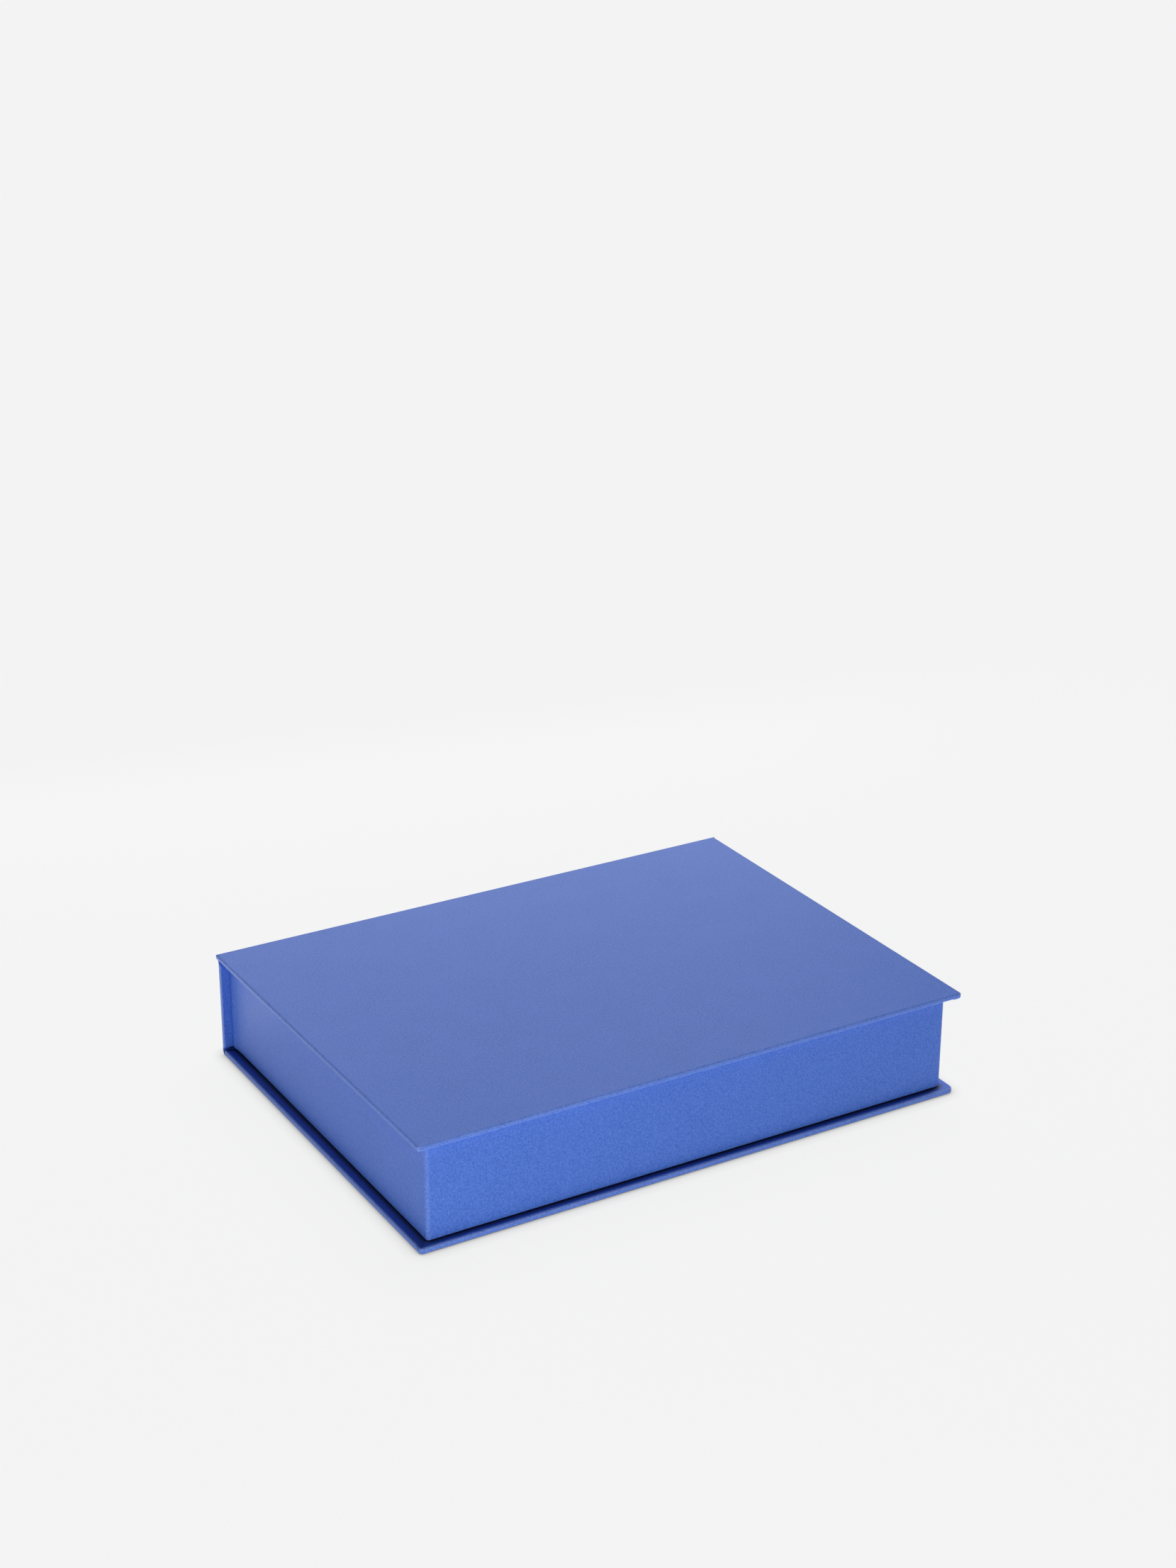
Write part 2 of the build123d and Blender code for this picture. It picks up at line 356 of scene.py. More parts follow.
def case_profile(side):
    """Rows of (inset, height, paleness from rubbing and painted highlight, on the inner face), from the
    outer face to the turn-in's edge.
    """
    outer, inner, case = OUTER_ARRIS, INNER_ARRIS, side.case
    outer_rub_and_highlight, inner_rub_and_highlight = EDGE_RUB_AND_HIGHLIGHT[side.name]
    rows = [(FACE_BORDER, 0.0, 0.0, False), (outer + SHOULDER, 0.0, 0.0, False)]
    for angle in spread(0.0, math.pi / 2, 8):
        rows.append((outer - outer * math.sin(angle), outer - outer * math.cos(angle),
                     max(outer_rub_and_highlight * math.sin(2 * angle), band_highlight_and_wear(side, outer)) * math.sin(angle),
                     False))
    rows += [(0.0, height, band_highlight_and_wear(side, height), False)
             for height in spread(outer, case - inner, 7)[1:-1]]
    for angle in spread(0.0, math.pi / 2, 8):
        rows.append((inner - inner * math.cos(angle), case - inner + inner * math.sin(angle),
                     inner_rub_and_highlight * math.sin(2 * angle), angle > 1.5))
    for inset in (inner + SHOULDER, 3.0 * MM, TURN_IN / 2, TURN_IN - SHOULDER):
        rows.append((inset, case, 0.0, True))
    rows.append((TURN_IN, case - TURN_IN_STEP, TURN_IN_WEAR, True))
    return rows


def case_cover(side):
    """Covering of the lid or base board, up to where its joint begins."""
    stations = u_path(side.half, side.front, side.cover_rear, side.corners, FINE)
    rows = case_profile(side)
    vertices, wear_and_painted_light = [], []
    for station in stations:
        distance = from_corner(side, station)
        droop = droop_at(side, station)
        lap = CORNER_LAP if on_fore_edge(station) else 0.0
        for inset, height, worn_and_lit, inner in rows:
            # the tuck's colour mark: paler beside its slit, painted shade inside it
            deeper, rim = tuck_at(side, distance, height) if not inner else (0.0, 0.0)
            deeper += inset
            x, y = plan(station, deeper, side.half, side.front, side.corners)
            height += droop * ease(height / side.case * 2 - 1) * ease(3 - inset / (2 * MM))
            height += lap if inner else 0.0
            vertices.append((x, y, side.z(height)))
            wear_and_painted_light.append(worn_and_lit + rim)
    faces = quads(0, len(rows), len(stations))
    ring = [plan(station, FACE_BORDER, side.half, side.front, side.corners) for station in stations]
    left = sorted({y for (kind, _), (_, y) in zip(stations, ring) if kind == "left"})
    along = sorted({x for (kind, _), (x, _) in zip(stations, ring) if kind == "front"})
    start = len(vertices)
    vertices += [(x, y, side.outer_z) for y in left for x in along]
    wear_and_painted_light += [0.0] * (len(left) * len(along))
    faces += quads(start, len(along), len(left))
    return smooth(thicken(piece(f"{side.name}_cover", vertices, faces, wear_and_painted_light), CASE_CLOTH))


# ---------------------------------------------------------------- tray walls
def wall_profile(side):
    """Rows of (inset, height, paleness from rubbing and painted highlight) over a wall, from its foot
    inside the tray to its foot outside.
    """
    top, arris = side.rim, RIM_ARRIS
    foot = side.case
    rows = [(WALL, height, 0.0) for height in spread(foot, top - arris - SHOULDER, 6)]
    for angle in spread(0.0, math.pi / 2, 7):
        rows.append((WALL - arris + arris * math.cos(angle), top - arris + arris * math.sin(angle),
                     math.sin(2 * angle)))
    for angle in spread(math.pi / 2, math.pi, 7):
        rows.append((arris + arris * math.cos(angle), top - arris + arris * math.sin(angle),
                     abs(math.sin(2 * angle))))
    rows += [(0.0, height, 0.0) for height in spread(top - arris - SHOULDER, foot + 1.0 * MM, 7)]
    return rows + [(inset, foot + height, 0.0) for inset, height in FOOT_CURVE]


def tray_cover(side):
    """Covering over both faces, the rim and the rear ends of a tray's three walls."""
    rear = side.wall_rear - WALL_END_ARRIS
    stations = u_path(side.tray_half, side.tray_front, rear, side.tray_corners,
                      rear_fine=REAR_EASE[side.name])
    rounding = [
        (WALL_END_ARRIS * math.sin(angle), WALL_END_ARRIS * (1 - math.cos(angle)))
        for angle in spread(0.0, math.pi / 2, 6)[1:]
    ]
    rings = [(stations[0], *step) for step in reversed(rounding)]
    rings += [(station, 0.0, 0.0) for station in stations]
    rings += [(stations[-1], *step) for step in rounding]
    rows = wall_profile(side)
    vertices, wear_and_painted_light = [], []
    for station, beyond, shrink in rings:
        # upright corners painted paler: some rubbing, and painted highlight
        corner = CORNER_WEAR_AND_HIGHLIGHT * math.sin(2 * station[1]) if station[0].endswith("corner") else 0.0
        for inset, height, worn_and_lit in rows:
            across = min(max(inset, shrink), WALL - shrink)
            height = min(height, side.rim - shrink)
            x, y = plan(station, across, side.tray_half, side.tray_front, side.tray_corners)
            y += beyond
            if side.name == "lid" and station[0] in ("left", "right"):
                flare = FLARE * ease((y - side.wall_rear + FLARE_LENGTH) / FLARE_LENGTH)
                x += math.copysign(flare * (1 - inset / WALL), x)
            if side.name == "lid":
                reach = math.hypot(x + side.tray_half, y - side.tray_front) / POINT_LENGTH
                near_rim = ease(1 - (side.rim - height) / POINT_LENGTH)
                height += POINT_DROP * max(0.0, 1 - reach) * near_rim
            if station[0] in ("left", "right"):
                past = min(1.0, max(0.0, 1 - (side.wall_rear - y) / REAR_EASE[side.name]))
                rise = REAR_EASE[side.name] * (1 - math.sqrt(1 - past * past))
                height -= rise * (height - side.case) / (side.rim - side.case)
            vertices.append((x, y, side.z(height)))
            wear_and_painted_light.append(max(worn_and_lit, corner) if inset < WALL / 2 else worn_and_lit)
    count = len(rows)
    faces = quads(0, count, len(rings))
    faces.append(tuple(range(count)))
    faces.append(tuple(range(count * (len(rings) - 1), count * len(rings))))
    return smooth(thicken(piece(f"{side.name}_tray_cover", vertices, faces, wear_and_painted_light), TRAY_CLOTH))


# ---------------------------------------------------------------- ribbons along X
def ribbon(name, path, thickness, half, wear_and_painted_light=None):
    """A strip of cloth that spans the box: path is its outer surface in the YZ plane, and its
    thickness lies to the left of the path. Thickness and half length may differ from point to point."""
    count = len(path)
    thickness = thickness if isinstance(thickness, list) else [thickness] * count
    half = half if isinstance(half, list) else [half] * count
    wear_and_painted_light = wear_and_painted_light or [0.0] * count
    points = [Vector(point) for point in path]
    normals = []
    for i in range(count):
        before, after = points[max(i - 1, 0)], points[min(i + 1, count - 1)]
        into = (points[i] - before).normalized() if i else Vector((0, 0))
        out = (after - points[i]).normalized() if i < count - 1 else Vector((0, 0))
        along = (into + out).normalized()
        stretch = max(0.6, along.dot(out if i < count - 1 else into))
        normals.append(Vector((-along.y, along.x)) / stretch)
    rounding = [(-1.0, angle) for angle in spread(0.0, math.pi / 2, 5)]
    stations = rounding + [(x, math.pi / 2) for x in spread(-1.0, 1.0, 30)[1:-1]]
    stations += [(1.0, angle) for _, angle in reversed(rounding)]
    vertices, worn_and_lit = [], []
    for place, angle in stations:
        for layer in (-0.5, 0.5):
            order = range(count) if layer < 0 else reversed(range(count))
            for i in order:
                x = place * (half[i] - thickness[i] / 2 * (1 - math.cos(angle)))
                at = points[i] + normals[i] * thickness[i] * (0.5 + layer * math.sin(angle))
                vertices.append((x, at.x, at.y))
                worn_and_lit.append(wear_and_painted_light[i])
    return smooth(piece(name, vertices, tube(2 * count, len(stations)), worn_and_lit))


def arc(centre, radius, start, stop, count):
    """Points on an arc in the YZ plane, angles in degrees."""
    return [
        (centre[0] + radius * math.cos(math.radians(a)), centre[1] + radius * math.sin(math.radians(a)))
        for a in spread(start, stop, count)
    ]


def rounded(points, radius, count=5):
    """An open path in the YZ plane with its corners rounded."""
    result = [Vector(points[0])]
    for before, at, after in zip(points, points[1:], points[2:]):
        before, at, after = Vector(before), Vector(at), Vector(after)
        into, out = (at - before), (after - at)
        turn = into.angle(out)
        cut = min(radius * math.tan(turn / 2), into.length * 0.45, out.length * 0.45)
        start, stop = at - into.normalized() * cut, at + out.normalized() * cut
        for share in spread(0.0, 1.0, count):
            first = start.lerp(at, share)
            result.append(first.lerp(at.lerp(stop, share), share))
    result.append(Vector(points[-1]))
    return [tuple(point) for point in result]


CASE_HALF = LID.half
SPINE_HALF = CASE_HALF - SPINE_END_INSET
LINING_HALF = CASE_HALF - LINING_INSET
ROLL_CENTRE = (SPINE_OUTER - FOOT_ROLL, FOOT_ROLL)
SPINE_LOW_Z = FOOT_ROLL
SPINE_HIGH_Z = LID.outer_z - SPINE_TOP
SPINE_INNER = spine_board[0].y - CASE_CLOTH
SLOPE = SPINE_OUTER - FOLDED - SPINE_INNER


def lower_joint_cover():
    """Outer cloth that rolls round the lower rear edge, from the base to the spine."""
    angles = spread(-90.0, 0.0, 15)
    path = arc(ROLL_CENTRE, FOOT_ROLL, -90.0, 0.0, len(angles))
    thickness = [CASE_CLOTH + (FOLDED - CASE_CLOTH) * ease((a + 90) / 30) for a in angles]
    cover = ribbon("lower_joint_cover", path, thickness, SPINE_HALF)
    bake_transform(cover)
    return cover


def upper_joint_cover():
    """Outer cloth from the spine, out to the lip behind the lid and over the lid's rear edge."""
    lip = LID.outer_z - LIP_ARRIS
    corners = [
        (SPINE_OUTER, SPINE_HIGH_Z),
        (SPINE_OUTER, SPINE_HIGH_Z + 0.35 * MM),
        (LID_REAR, LID.outer_z - LIP_DROP),
        (LID_REAR, lip),
    ]
    path = rounded(corners, LIP_BEND)
    path += arc((LID_REAR - LIP_ARRIS, lip), LIP_ARRIS, 0.0, 90.0, 8)[1:]
    low, high = SPINE_HIGH_Z, LID.outer_z - LIP_DROP
    half = [SPINE_HALF + SPINE_END_INSET * ease((z - low) / (high - low)) for _, z in path]
    wear_and_painted_light = [1.0 if z > lip - 0.3 * MM else 0.0 for _, z in path]
    cover = ribbon("upper_joint_cover", path, FOLDED * 0.6, half, wear_and_painted_light)
    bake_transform(cover)
    return cover


def spine_outline():
    """Section of the covered spine: flat outside, with its inner cloth sloping out to both joints."""
    inner_edge = SPINE_OUTER - FOLDED
    lower = [
        (inner_edge, SPINE_LOW_Z),
        (SPINE_INNER, SPINE_LOW_Z + SLOPE),
        (SPINE_INNER, SPINE_HIGH_Z - SLOPE),
        (inner_edge, SPINE_HIGH_Z),
    ]
    return rounded(lower, SPINE_BEND)


def spine_cover():
    """Cloth all round the spine board, with softened ends."""
    inner = [Vector(point) for point in spine_outline()]
    count = len(inner)
    outer = [Vector((SPINE_OUTER, point.y)) for point in reversed(inner)]
    outline = inner + outer
    middle = [(inner[i] + outer[count - 1 - i]) / 2 for i in range(count)]
    middle += list(reversed(middle))
    arris = SPINE_END_ARRIS
    stations = [(-SPINE_HALF + arris * (1 - math.sin(a)), arris * (1 - math.cos(a)))
                for a in reversed(spread(0.0, math.pi / 2, 7))]
    stations += [(x, 0.0) for x in spread(-SPINE_HALF + arris, SPINE_HALF - arris, 30)[1:-1]]
    stations += [(-x, inset) for x, inset in reversed(stations[:7])]
    vertices, wear_and_painted_light = [], []
    for x, inset in stations:
        for point, core in zip(outline, middle):
            gap = (core - point).length
            at = point.lerp(core, min(inset, gap * 0.8) / gap)
            if point.x > SPINE_OUTER - 0.01 * MM:
                at.y = point.y
            vertices.append((x, at.x, at.y))
            wear_and_painted_light.append(0.0 if inset == 0 else 0.6)
    ring = len(outline)
    faces = tube(ring, len(stations))
    for first in (0, (len(stations) - 1) * ring):
        faces += [
            (first + i, first + i + 1, first + ring - 2 - i, first + ring - 1 - i)
            for i in range(count - 1)
        ]
    return smooth(piece("spine_cover", vertices, faces, wear_and_painted_light), 30.0)


def floor_to_joint(side):
    """Path of the inner cloth: over the tray floor's rear edge, down it, and over the board's edge."""
    floor, top = side.floor + AIR, side.case + LINING + AIR
    edge = side.wall_rear - TRAY_CLOTH + LINING + 1.5 * AIR
    over = side.board_rear + LINING + AIR
    return [
        (edge - LINING_ON_FLOOR, floor),
        (edge, floor),
        (edge, top),
        (over, top),
        (over, LINING_END),
    ]


def side_lining(side):
    """Inner cloth of one half of the box, from the tray floor to the rear edge of the case board."""
    corners = floor_to_joint(side)
    path = rounded(corners, LINING_BEND)
    between = side.tray_half - WALL - 0.1 * MM
    edge = corners[1][0]
    half = [between if y < edge + AIR else LINING_HALF for y, _ in path]
    path = [(y, side.z(height)) for y, height in path]
    if side.inward > 0:
        path, half = path[::-1], half[::-1]
    return ribbon(f"{side.name}_joint_cloth", path, LINING, half)


def spine_lining():
    """Inner cloth on the spine, over its turn-ins."""
    inner = [Vector(point) for point in spine_outline()]
    offset = LINING + AIR / 2
    lifted = []
    for i, point in enumerate(inner):
        before, after = inner[max(i - 1, 0)], inner[min(i + 1, len(inner) - 1)]
        along = (after - before).normalized()
        lifted.append(tuple(point + Vector((-along.y, along.x)) * offset))
    return ribbon("spine_inner_cloth", lifted[::-1], LINING, LINING_HALF)


def lower_joint_lining():
    """Inner cloth that follows the lower roll, from the base board's rear edge to the spine."""
    start = floor_to_joint(BASE)[-1]
    radius = FOOT_ROLL - FOLDED - LINING - AIR
    path = [start, (start[0] + AIR, start[1] - 0.12 * MM)]
    path += arc(ROLL_CENTRE, radius, -68.0, 0.0, 12)
    cloth = ribbon("lower_joint_cloth", path[::-1], LINING, LINING_HALF)
    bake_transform(cloth)
    return cloth


def upper_joint_lining():
    """Inner cloth from the spine to the lid board's rear edge, inside the lip."""
    start = (SPINE_OUTER - FOLDED - LINING, SPINE_HIGH_Z)
    lip_inside = LID_REAR - FOLDED * 0.6 - 0.05 * MM
    board_end = floor_to_joint(LID)[-1]
    end = (board_end[0] + AIR, LID.z(board_end[1]))
    corners = [
        start,
        (start[0] + 0.2 * MM, SPINE_HIGH_Z + 0.4 * MM),
        (lip_inside, LID.outer_z - LIP_DROP + 0.3 * MM),
        (lip_inside, end[1] - 0.1 * MM),
        end,
    ]
    path = rounded(corners, 0.3 * MM)
    cloth = ribbon("upper_joint_cloth", path[::-1], UPPER_LINING, LINING_HALF)
    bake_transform(cloth)
    return cloth


def floor_paper(side):
    """Paper on a tray's floor."""
    lo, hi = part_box(f"{side.name}_tray_lining")
    rear = side.wall_rear - TRAY_CLOTH - LINING_ON_FLOOR + PAPER_LAP
    path = [(y, side.z(side.floor)) for y in spread(lo.y + PAPER_GAP, rear, 12)]
    if side.inward > 0:
        path = path[::-1]
    return ribbon(f"{side.name}_tray_paper", path, PAPER_SHEET, hi.x - PAPER_GAP)


# ---------------------------------------------------------------- materials
DEEP_BLUE = (0.021, 0.111, 0.575, 1.0)
BLUE = (0.029, 0.125, 0.615, 1.0)
FIBRE_BLUE = (0.091, 0.217, 0.740, 1.0)
# pale blue for rubbed edges and for the painted highlight on them
RUBBED_AND_LIT_BLUE = (0.22, 0.34, 0.82, 1.0)
# near-black colour of the painted shade inside the tucks' slits
SLIT_SHADE_BLUE = (0.000, 0.002, 0.040, 1.0)
# near-black colour of the painted shade under the outer tray's rim
PAINTED_SHADE_BLUE = (0.000, 0.001, 0.015, 1.0)
PULP_DARK, PULP_PALE = (0.30, 0.27, 0.23, 1.0), (0.42, 0.39, 0.34, 1.0)
PULP_FLECK = (0.62, 0.59, 0.53, 1.0)
PAPER_DARK, PAPER_PALE = (0.80, 0.775, 0.70, 1.0), (0.86, 0.84, 0.775, 1.0)
WHITE = (1.0, 1.0, 1.0, 1.0)


def material(name):
    """A new node material, its tree and its Principled shader."""
    made = bpy.data.materials.new(name)
    made.use_nodes = True
    tree = made.node_tree
    return made, tree, tree.nodes["Principled BSDF"]


def node(tree, kind, inputs=(), **settings):
    """A node with its settings, and its inputs as values or as links from other sockets."""
    made = tree.nodes.new(kind)
    for key, value in settings.items():
        setattr(made, key, value)
    for key, value in dict(inputs).items():
        if isinstance(value, bpy.types.NodeSocket):
            tree.links.new(value, made.inputs[key])
        else:
            made.inputs[key].default_value = value
    return made


def math_node(tree, operation, first, second=None, third=None):
    inputs = {0: first}
    if second is not None:
        inputs[1] = second
    if third is not None:
        inputs[2] = third
    return node(tree, "ShaderNodeMath", inputs, operation=operation).outputs[0]


def noise(tree, coordinates, scale, detail=3.0, roughness=0.55):
    inputs = {"Vector": coordinates, "Scale": scale, "Detail": detail, "Roughness": roughness}
    return node(tree, "ShaderNodeTexNoise", inputs).outputs["Fac"]


def weave(tree, place, pitch):
    """Plain weave on faces of any direction: product of two thread waves, chosen by the normal."""
    position = node(tree, "ShaderNodeSeparateXYZ", {0: place.outputs["Object"]})
    normal = node(tree, "ShaderNodeSeparateXYZ", {0: place.outputs["Normal"]})
    waves, facing = [], []
    for axis in range(3):
        turned = math_node(tree, "MULTIPLY", position.outputs[axis], 2 * math.pi / pitch)
        waves.append(math_node(tree, "SINE", turned))
        facing.append(math_node(tree, "MULTIPLY", normal.outputs[axis], normal.outputs[axis]))
    total = 0.0
    for axis in range(3):
        threads = math_node(tree, "MULTIPLY", waves[(axis + 1) % 3], waves[(axis + 2) % 3])
        total = math_node(tree, "MULTIPLY_ADD", threads, facing[axis], total)
    return total


def mix(tree, share, first, second):
    made = node(tree, "ShaderNodeMix", data_type="RGBA")
    for socket, value in ((made.inputs[0], share), (made.inputs[6], first), (made.inputs[7], second)):
        if isinstance(value, bpy.types.NodeSocket):
            tree.links.new(value, socket)
        else:
            socket.default_value = value
    return made.outputs[2]


def bump(tree, height, distance, strength=1.0, below=None):
    inputs = {"Height": height, "Distance": distance, "Strength": strength}
    if below is not None:
        inputs["Normal"] = below
    return node(tree, "ShaderNodeBump", inputs).outputs["Normal"]


def mapped(tree, value, low, high, to_low, to_high):
    inputs = {0: value, 1: low, 2: high, 3: to_low, 4: to_high}
    return node(tree, "ShaderNodeMapRange", inputs).outputs[0]


def base_margin_painted_shade(tree, place):
    """Painted shade on the base's margin under the outer tray's rim, darkest where ambient occlusion
    finds the rim close by.
    """
    height = node(tree, "ShaderNodeSeparateXYZ", {0: place.outputs["Object"]}).outputs[2]
    facing = node(tree, "ShaderNodeSeparateXYZ", {0: place.outputs["Normal"]}).outputs[2]
    upward = mapped(tree, facing, 0.6, 0.9, 0.0, 1.0)
    low = mapped(tree, height, BASE.case + 0.2 * MM, BASE.case + 0.6 * MM, 1.0, 0.0)
    margin = math_node(tree, "MULTIPLY", upward, low)
    near = node(tree, "ShaderNodeAmbientOcclusion", {"Distance": PAINTED_SHADE_REACH}, samples=6)
    shade = mapped(tree, near.outputs["AO"], 0.6, 0.97, 1.0, 0.0)
    return math_node(tree, "MULTIPLY", shade, margin)


def book_cloth():
    """Fine blue bookcloth: close weave, faint mottle, paler on edges from rubbing and painted
    highlight, with painted shade in the tucks' slits and on the base's margin under the outer tray's
    rim.
    """
    made, tree, shader = material("book_cloth")
    place = node(tree, "ShaderNodeTexCoord")
    at = place.outputs["Object"]
    cloud = noise(tree, at, 45.0, 2.0)
    speckle = noise(tree, at, 990.0, 3.0, 0.7)
    dye = mix(tree, mapped(tree, cloud, 0.3, 0.7, 0.0, 1.0), DEEP_BLUE, BLUE)
    dye = mix(tree, mapped(tree, speckle, 0.33, 0.67, 0.0, 1.0), dye, FIBRE_BLUE)
    wear_and_painted_light = node(tree, "ShaderNodeAttribute", attribute_name="wear_and_painted_light").outputs["Fac"]
    # paler where the mark is above 0: some rubbing, and painted highlight on edges
    rubbed_and_lit = mapped(tree, wear_and_painted_light, 0.0, 1.5, 0.0, 1.5)
    patchy_rub_and_highlight = math_node(tree, "MULTIPLY", rubbed_and_lit, mapped(tree, speckle, 0.35, 0.65, 0.32, 0.75))
    colour = mix(tree, patchy_rub_and_highlight, dye, RUBBED_AND_LIT_BLUE)
    # painted shade inside the tucks' slits, where the mark is below 0
    colour = mix(tree, mapped(tree, wear_and_painted_light, -1.0, -0.2, 0.9, 0.0), colour, SLIT_SHADE_BLUE)
    # painted shade on the base's margin, under the outer tray's rim
    colour = mix(tree, base_margin_painted_shade(tree, place), colour, PAINTED_SHADE_BLUE)
    tree.links.new(colour, shader.inputs["Base Color"])
    tree.links.new(mapped(tree, speckle, 0.3, 0.7, 0.46, 0.56), shader.inputs["Roughness"])
    threads = weave(tree, place, 0.55 * MM)
    slack = bump(tree, cloud, 0.25 * MM, 0.35)
    fibres = bump(tree, speckle, 0.05 * MM, 0.45, slack)
    tree.links.new(bump(tree, threads, 0.02 * MM, 0.5, fibres), shader.inputs["Normal"])
    shader.inputs["IOR"].default_value = 1.45
    shader.inputs["Sheen Weight"].default_value = 0.05
    shader.inputs["Sheen Roughness"].default_value = 0.45
    return made


def greyboard():
    """Raw pulp board: grey-brown, with pale flecks."""
    made, tree, shader = material("greyboard")
    at = node(tree, "ShaderNodeTexCoord").outputs["Object"]
    pulp = noise(tree, at, 260.0, 4.0, 0.7)
    fleck = noise(tree, at, 1400.0, 2.0)
    body = mix(tree, mapped(tree, pulp, 0.3, 0.7, 0.0, 1.0), PULP_DARK, PULP_PALE)
    colour = mix(tree, mapped(tree, fleck, 0.62, 0.75, 0.0, 0.6), body, PULP_FLECK)
    tree.links.new(colour, shader.inputs["Base Color"])
    tree.links.new(mapped(tree, pulp, 0.3, 0.7, 0.80, 0.92), shader.inputs["Roughness"])
    tree.links.new(bump(tree, pulp, 0.08 * MM, 0.5), shader.inputs["Normal"])
    return made


def lining_paper():
    """Off-white uncoated paper with a slight tooth."""
    made, tree, shader = material("lining_paper")
    at = node(tree, "ShaderNodeTexCoord").outputs["Object"]
    cloud = noise(tree, at, 90.0, 4.0, 0.6)
    tooth = noise(tree, at, 2200.0, 2.0)
    colour = mix(tree, mapped(tree, cloud, 0.3, 0.7, 0.0, 1.0), PAPER_DARK, PAPER_PALE)
    tree.links.new(colour, shader.inputs["Base Color"])
    tree.links.new(mapped(tree, cloud, 0.3, 0.7, 0.78, 0.88), shader.inputs["Roughness"])
    tree.links.new(bump(tree, tooth, 0.03 * MM, 0.5), shader.inputs["Normal"])
    return made


CLOTH, BOARD, PAPER = book_cloth(), greyboard(), lining_paper()


def dress(result, finish, nodes, body=None):
    """Finish a piece: its material, slot, the CAD nodes it stands for and the body it rides on."""
    result.data.materials.clear()
    result.data.materials.append(finish)
    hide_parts(*nodes)
    if body:
        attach(result, body)


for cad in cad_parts.values():
    cad.data.materials.clear()
    cad.data.materials.append(BOARD)

dress(case_cover(LID), CLOTH, ["lid_cloth"], "lid")
dress(case_cover(BASE), CLOTH, ["base_cloth"], "base")
dress(spine_cover(), CLOTH, ["spine_cloth"], "spine")
dress(lower_joint_cover(), CLOTH, ["base_cloth", "spine_cloth"])
dress(upper_joint_cover(), CLOTH, ["lid_cloth", "spine_cloth"])
dress(spine_lining(), CLOTH, ["spine_lining"], "spine")
dress(lower_joint_lining(), CLOTH, ["base_joint_lining"])
dress(upper_joint_lining(), CLOTH, ["lid_joint_lining"])
for side in (LID, BASE):
    name = side.name
    dress(tray_cover(side), CLOTH, [f"{name}_tray_wall_cloth"], name)
    dress(side_lining(side), CLOTH, [f"{name}_joint_lining"], name)
    dress(floor_paper(side), PAPER, [f"{name}_tray_lining"], name)


# ---------------------------------------------------------------- stage, light and camera
FLOOR_HALF = 14.0
FLOOR_DROP = 0.05 * MM
FLOOR_GLOW = 0.866          # the floor is lit from below as well, so it stays pale round the box
FLOOR_ALBEDO = 0.05
BACKDROP_RADIUS = 12.0
BACKDROP_GLOW = 0.90
CONTACT_REACH = 8.0 * MM    # how far the floor's contact shadow reaches
CONTACT_POWER = 0.85

# Each part of the sky: its strength, and what limits it as (axis, where it starts, where it is full).
SKY = [
    (0.90, [((0, 1, 0), -0.45, -0.20), ((0, 0, -1), -0.26, -0.14)]),
    (0.90, [((0, -1, 0), 0.20, 0.45), ((0, 0, -1), -0.10, -0.05)]),
    (6.00, [((0, 1, 0), 0.00, 0.15), ((1, 0, 0), -0.10, 0.15), ((0, 0, 1), 0.60, 0.85)]),
]
# Each softbox: where it is, what it faces, its width and height, and its radiance.
SOFTBOXES = [
    ((-0.90, -1.10, 0.06), (-0.10, -0.10, 0.03), 0.60, 0.12, 5.0),
    ((-0.32, -0.54, 0.03), (-0.15, -0.12, 0.03), 0.30, 0.06, 11.0),
    ((0.20, -1.60, 0.06), (0.00, 0.00, 0.03), 1.00, 0.12, 6.4),
    ((0.10, 0.50, 0.20), (0.00, 0.05, 0.06), 0.90, 0.25, 1.3),
    ((-0.26, 0.32, 0.00), (-0.26, 0.32, 1.00), 0.18, 0.36, 0.8),
]

CAMERA_PLACE = (-0.6660, -1.1307, 0.7094)
CAMERA_TURN = -30.587       # degrees, about Z
CAMERA_TILT = 67.794        # up from straight down
CAMERA_ROLL = 0.206
SENSOR_WIDTH = 36.0         # millimetres, as Blender has them
LENS = 61.10
CLIP_END = 60.0             # beyond the floor's far corner


def glowing(name, albedo):
    """A matt grey stage material with a white glow, whose strength its caller sets."""
    finish, tree, shader = material(name)
    shader.inputs["Base Color"].default_value = (albedo, albedo, albedo, 1.0)
    shader.inputs["Roughness"].default_value = 1.0
    shader.inputs["Specular IOR Level"].default_value = 0.0
    shader.inputs["Emission Color"].default_value = WHITE
    return finish, tree, shader


def stage_floor():
    """Pale floor with a contact shadow under the box."""
    mesh = bpy.data.meshes.new("floor")
    corners = ((-1, -1), (1, -1), (1, 1), (-1, 1))
    mesh.from_pydata([(x * FLOOR_HALF, y * FLOOR_HALF, -FLOOR_DROP) for x, y in corners],
                     [], [(0, 1, 2, 3)])
    floor = bpy.data.objects.new("floor", mesh)
    bpy.context.scene.collection.objects.link(floor)
    finish, tree, shader = glowing("floor", FLOOR_ALBEDO)
    contact = node(tree, "ShaderNodeAmbientOcclusion", {"Distance": CONTACT_REACH}, samples=6)
    shade = math_node(tree, "POWER", contact.outputs["AO"], CONTACT_POWER)
    glow = math_node(tree, "MULTIPLY", shade, FLOOR_GLOW)
    tree.links.new(glow, shader.inputs["Emission Strength"])
    mesh.materials.append(finish)


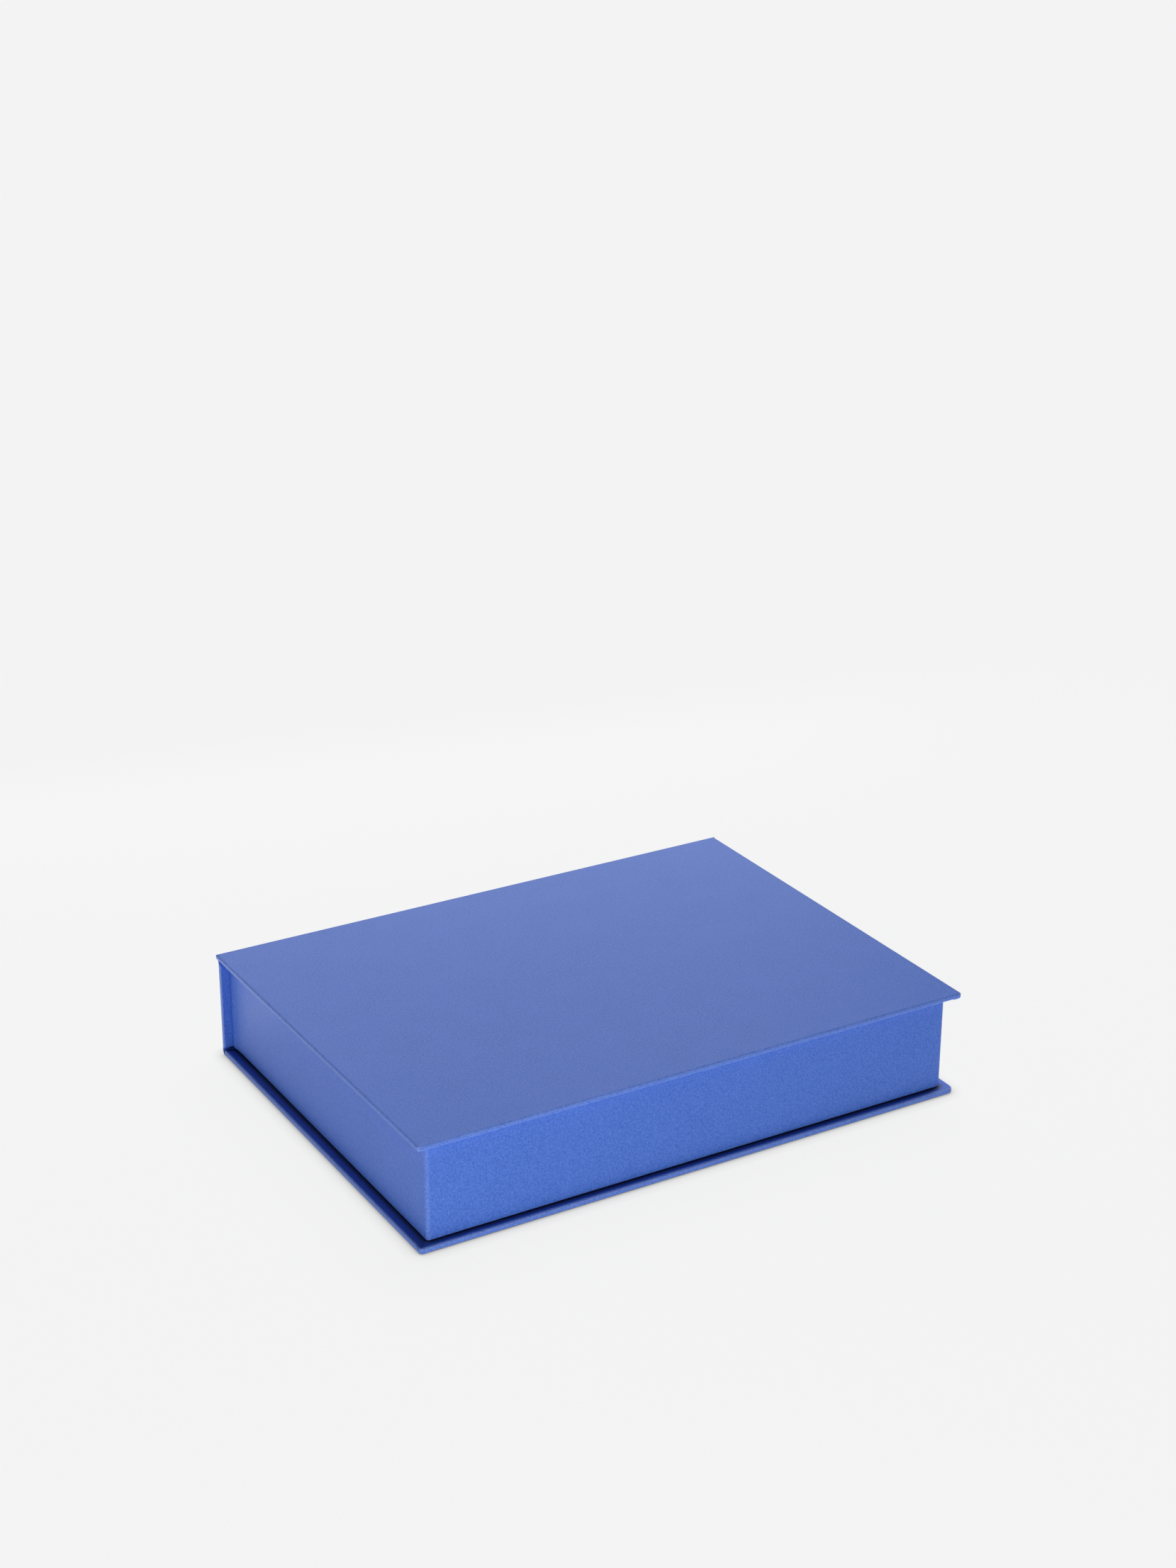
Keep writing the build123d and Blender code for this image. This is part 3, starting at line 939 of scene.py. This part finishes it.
def stage_backdrop():
    """Pale studio wall all round. Only the camera sees it, so it adds no light of its own."""
    shape = bmesh.new()
    bmesh.ops.create_uvsphere(shape, u_segments=64, v_segments=32, radius=BACKDROP_RADIUS)
    mesh = bpy.data.meshes.new("backdrop")
    shape.to_mesh(mesh)
    shape.free()
    backdrop = bpy.data.objects.new("backdrop", mesh)
    backdrop.visible_diffuse = False
    backdrop.visible_glossy = False
    backdrop.visible_transmission = False
    backdrop.visible_shadow = False
    bpy.context.scene.collection.objects.link(backdrop)
    finish, _, shader = glowing("backdrop", 0.0)
    shader.inputs["Emission Strength"].default_value = BACKDROP_GLOW
    mesh.materials.append(finish)


def studio_sky():
    """Soft light from the parts of the sky in SKY, dark elsewhere."""
    world = bpy.data.worlds.new("studio")
    world.use_nodes = True
    tree = world.node_tree
    direction = node(tree, "ShaderNodeTexCoord").outputs["Generated"]
    total = 0.0
    for strength, limits in SKY:
        share = strength
        for axis, start, full in limits:
            along = node(tree, "ShaderNodeVectorMath", {0: direction, 1: axis}, operation="DOT_PRODUCT")
            inputs = {0: along.outputs["Value"], 1: start, 2: full}
            edge = node(tree, "ShaderNodeMapRange", inputs, interpolation_type="SMOOTHSTEP")
            share = math_node(tree, "MULTIPLY", edge.outputs[0], share)
        total = math_node(tree, "ADD", total, share)
    tree.links.new(total, tree.nodes["Background"].inputs["Strength"])
    tree.nodes["Background"].inputs["Color"].default_value = WHITE
    bpy.context.scene.world = world


def softbox(number, place, target, width, height, radiance):
    data = bpy.data.lights.new(f"softbox_{number}", "AREA")
    data.shape = "RECTANGLE"
    data.size = width
    data.size_y = height
    data.energy = radiance * math.pi * width * height
    light = bpy.data.objects.new(data.name, data)
    light.location = place
    light.rotation_euler = (Vector(target) - Vector(place)).to_track_quat("-Z", "Y").to_euler()
    light.visible_camera = False
    bpy.context.scene.collection.objects.link(light)


def stage_camera():
    data = bpy.data.cameras.new("camera")
    data.sensor_width = SENSOR_WIDTH
    data.lens = LENS
    data.clip_end = CLIP_END
    camera = bpy.data.objects.new("camera", data)
    camera.location = CAMERA_PLACE
    turn, tilt, roll = (math.radians(angle) for angle in (CAMERA_TURN, CAMERA_TILT, CAMERA_ROLL))
    aim = Matrix.Rotation(turn, 3, "Z") @ Matrix.Rotation(tilt, 3, "X") @ Matrix.Rotation(roll, 3, "Z")
    camera.rotation_euler = aim.to_euler()
    bpy.context.scene.collection.objects.link(camera)
    bpy.context.scene.camera = camera
    bpy.context.scene.view_settings.view_transform = "Standard"


stage_floor()
stage_backdrop()
studio_sky()
for number, box in enumerate(SOFTBOXES):
    softbox(number, *box)
stage_camera()
